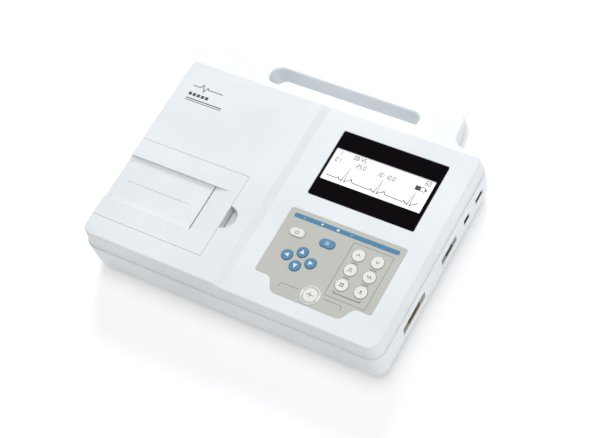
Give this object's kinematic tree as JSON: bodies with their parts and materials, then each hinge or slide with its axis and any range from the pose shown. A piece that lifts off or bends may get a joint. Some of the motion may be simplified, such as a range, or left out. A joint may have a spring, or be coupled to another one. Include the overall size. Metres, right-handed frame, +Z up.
{
  "type": "electrocardiograph",
  "caption": "Portable chart-printing ECG machine: hinged paper door, graphic display, keypad, side connectors and a moulded rear carrying handle.",
  "frame": {"origin": "on the table under the centre of the machine, at the middle of its width and of its depth with the handle", "axes": "+X to the right along the machine's width, +Y to the back towards the handle, +Z up"},
  "size_m": [0.3135, 0.26, 0.0615],
  "materials": {
    "case_white": "fine satin moulded ABS",
    "overlay_grey": "satin printed polyester film",
    "key_white": "satin silicone",
    "key_blue": "satin silicone",
    "ring_white": "polished",
    "window_pane": "polished acrylic, black print on its back",
    "lcd_cell": "flat glass",
    "steel": "zinc plated",
    "aluminium": "mill finish",
    "ceramic": "glazed ceramic",
    "rubber_black": "matt",
    "gear_plastic": "natural acetal",
    "bush_plastic": "moulded nylon",
    "motor_can": "drawn can",
    "chart_paper": "smooth thermal paper",
    "core_plastic": "moulded",
    "board_green": "solder mask",
    "black_plastic": "fine grain",
    "battery_wrap": "heat-shrink sleeve",
    "grey_plastic": "satin",
    "socket_shell": "tin plate",
    "yellow_plate": "yellow passivated zinc",
    "brass": "machined"
  },
  "bodies": {
    "root": {"aux_socket": "black_plastic", "battery_door": "grey_plastic", "battery_pack": "battery_wrap", "board_spacers": "bush_plastic", "case_screws": "steel", "display_window": "window_pane", "door_catch": "bush_plastic", "door_hinge_pins": "steel", "earth_stud": "brass", "frame_pins": "steel", "head_springs": "steel", "key_switches": "black_plastic", "keypad_board": "board_green", "keypad_overlay": "overlay_grey", "lcd_bezel": "steel", "lcd_board": "board_green", "lcd_panel": "lcd_cell", "lower_case": "case_white", "main_board": "board_green", "mains_inlet": "black_plastic", "paper_tub": "bush_plastic", "patient_connector": "yellow_plate", "power_board": "board_green", "power_switch": "black_plastic", "printer_frame": "steel", "roll_spindle": "bush_plastic", "rubber_feet": "rubber_black", "serial_connector": "socket_shell", "small_screws": "steel", "speaker": "black_plastic", "start_key_ring": "ring_white", "stepper_motor": "motor_can", "upper_case": "case_white", "usb_socket": "socket_shell"},
    "door": {"printer_door": "case_white", "platen_bushes": "bush_plastic"},
    "platen": {"platen_shaft": "steel", "platen_rubber": "rubber_black", "platen_gear": "gear_plastic"},
    "idler": {"idler_gear": "gear_plastic"},
    "motor_rotor": {"motor_pinion": "gear_plastic"},
    "roll": {"paper_roll": "chart_paper", "roll_core": "core_plastic"},
    "head": {"print_head": "ceramic", "head_heatsink": "aluminium"},
    "rocker": {"power_rocker": "black_plastic"},
    "key_arrow_down": {"key_arrow_down": "key_blue"},
    "key_arrow_left": {"key_arrow_left": "key_blue"},
    "key_arrow_right": {"key_arrow_right": "key_blue"},
    "key_arrow_up": {"key_arrow_up": "key_blue"},
    "key_filter": {"key_filter": "key_white"},
    "key_gain": {"key_gain": "key_white"},
    "key_lead_down": {"key_lead_down": "key_white"},
    "key_lead_up": {"key_lead_up": "key_white"},
    "key_mark": {"key_mark": "key_white"},
    "key_menu": {"key_menu": "key_blue"},
    "key_mode": {"key_mode": "key_white"},
    "key_power": {"key_power": "key_white"},
    "key_start": {"key_start": "key_white"}
  },
  "joints": [
    {"name": "door_hinge", "type": "hinge", "parent": "root", "child": "door", "pos_m": [-0.15, -0.0612, 0.048], "axis": [0, -1, 0], "range_deg": [0, 95]},
    {"name": "platen_spin", "type": "hinge", "parent": "door", "child": "platen", "pos_m": [-0.066, -0.0612, 0.0505], "axis": [0, 1, 0], "continuous": true},
    {"name": "idler_spin", "type": "hinge", "parent": "root", "child": "idler", "pos_m": [-0.066, -0.028, 0.03365], "axis": [0, 1, 0], "continuous": true},
    {"name": "motor_spin", "type": "hinge", "parent": "root", "child": "motor_rotor", "pos_m": [-0.05578, -0.028, 0.02343], "axis": [0, 1, 0], "continuous": true},
    {"name": "roll_spin", "type": "hinge", "parent": "root", "child": "roll", "pos_m": [-0.112, -0.0612, 0.031], "axis": [0, 1, 0], "continuous": true},
    {"name": "head_tilt", "type": "hinge", "parent": "root", "child": "head", "pos_m": [-0.05, -0.0612, 0.04], "axis": [0, 1, 0], "range_deg": [0, 2], "stiffness_Nm_per_rad": 2, "springref_deg": -5.73},
    {"name": "rocker_pivot", "type": "hinge", "parent": "root", "child": "rocker", "pos_m": [-0.1516, 0.026, 0.024], "axis": [0, 0, -1], "range_deg": [0, 12]},
    {"name": "press_arrow_down", "type": "slide", "parent": "root", "child": "key_arrow_down", "axis": [0, 0, -1], "range_m": [0, 0.0007], "stiffness_N_per_m": 400, "springref_m": -0.003},
    {"name": "press_arrow_left", "type": "slide", "parent": "root", "child": "key_arrow_left", "axis": [0, 0, -1], "range_m": [0, 0.0007], "stiffness_N_per_m": 400, "springref_m": -0.003},
    {"name": "press_arrow_right", "type": "slide", "parent": "root", "child": "key_arrow_right", "axis": [0, 0, -1], "range_m": [0, 0.0007], "stiffness_N_per_m": 400, "springref_m": -0.003},
    {"name": "press_arrow_up", "type": "slide", "parent": "root", "child": "key_arrow_up", "axis": [0, 0, -1], "range_m": [0, 0.0007], "stiffness_N_per_m": 400, "springref_m": -0.003},
    {"name": "press_filter", "type": "slide", "parent": "root", "child": "key_filter", "axis": [0, 0, -1], "range_m": [0, 0.0007], "stiffness_N_per_m": 400, "springref_m": -0.003},
    {"name": "press_gain", "type": "slide", "parent": "root", "child": "key_gain", "axis": [0, 0, -1], "range_m": [0, 0.0007], "stiffness_N_per_m": 400, "springref_m": -0.003},
    {"name": "press_lead_down", "type": "slide", "parent": "root", "child": "key_lead_down", "axis": [0, 0, -1], "range_m": [0, 0.0007], "stiffness_N_per_m": 400, "springref_m": -0.003},
    {"name": "press_lead_up", "type": "slide", "parent": "root", "child": "key_lead_up", "axis": [0, 0, -1], "range_m": [0, 0.0007], "stiffness_N_per_m": 400, "springref_m": -0.003},
    {"name": "press_mark", "type": "slide", "parent": "root", "child": "key_mark", "axis": [0, 0, -1], "range_m": [0, 0.0007], "stiffness_N_per_m": 400, "springref_m": -0.003},
    {"name": "press_menu", "type": "slide", "parent": "root", "child": "key_menu", "axis": [0, 0, -1], "range_m": [0, 0.0007], "stiffness_N_per_m": 400, "springref_m": -0.003},
    {"name": "press_mode", "type": "slide", "parent": "root", "child": "key_mode", "axis": [0, 0, -1], "range_m": [0, 0.0007], "stiffness_N_per_m": 400, "springref_m": -0.003},
    {"name": "press_power", "type": "slide", "parent": "root", "child": "key_power", "axis": [0, 0, -1], "range_m": [0, 0.0007], "stiffness_N_per_m": 400, "springref_m": -0.003},
    {"name": "press_start", "type": "slide", "parent": "root", "child": "key_start", "axis": [0, 0, -1], "range_m": [0, 0.0007], "stiffness_N_per_m": 400, "springref_m": -0.003}
  ],
  "couplings": [
    {"joint": "idler_spin", "follows": "platen_spin", "ratio": -0.75},
    {"joint": "motor_spin", "follows": "platen_spin", "ratio": 1.5}
  ]
}
